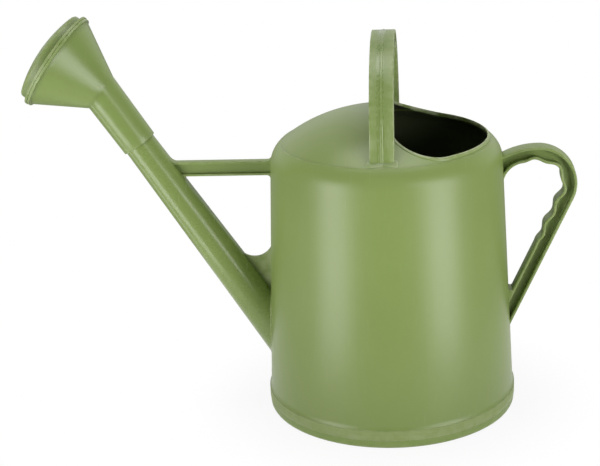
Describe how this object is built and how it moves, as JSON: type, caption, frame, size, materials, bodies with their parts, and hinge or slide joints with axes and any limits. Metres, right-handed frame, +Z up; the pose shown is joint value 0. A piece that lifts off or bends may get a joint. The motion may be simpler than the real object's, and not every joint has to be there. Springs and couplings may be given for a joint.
{
  "type": "watering can",
  "caption": "Moulded plastic watering can: domed round tank with a D-shaped filling mouth, arched top handle, ear-shaped rear handle, braced long spout and a bent pull-off rose.",
  "frame": {"origin": "on the tank's axis, on the ground under the base ring", "axes": "+Z up along the tank's axis, +X towards the rear handle, -X towards the spout, +Y across the can along the top handle"},
  "size_m": [0.5389, 0.25, 0.3993],
  "materials": {
    "can_green": "satin moulded olive green",
    "hoop_green": "satin moulded olive green",
    "rose_green": "satin moulded olive green"
  },
  "bodies": {
    "can": {"tank_body": "can_green", "base_pan": "can_green", "spout_tube": "can_green", "spout_brace": "can_green", "spout_gusset": "can_green", "rear_handle": "can_green", "top_handle": "hoop_green"},
    "rose": {"rose_funnel": "rose_green"},
    "face": {"rose_face": "rose_green"}
  },
  "joints": [
    {"name": "rose_pull", "type": "slide", "parent": "can", "child": "rose", "axis": [-0.5457, 0, 0.838], "range_m": [0, 0.07]},
    {"name": "face_pull", "type": "slide", "parent": "rose", "child": "face", "axis": [-0.8072, 0.0693, 0.5862], "range_m": [0, 0.015]}
  ]
}
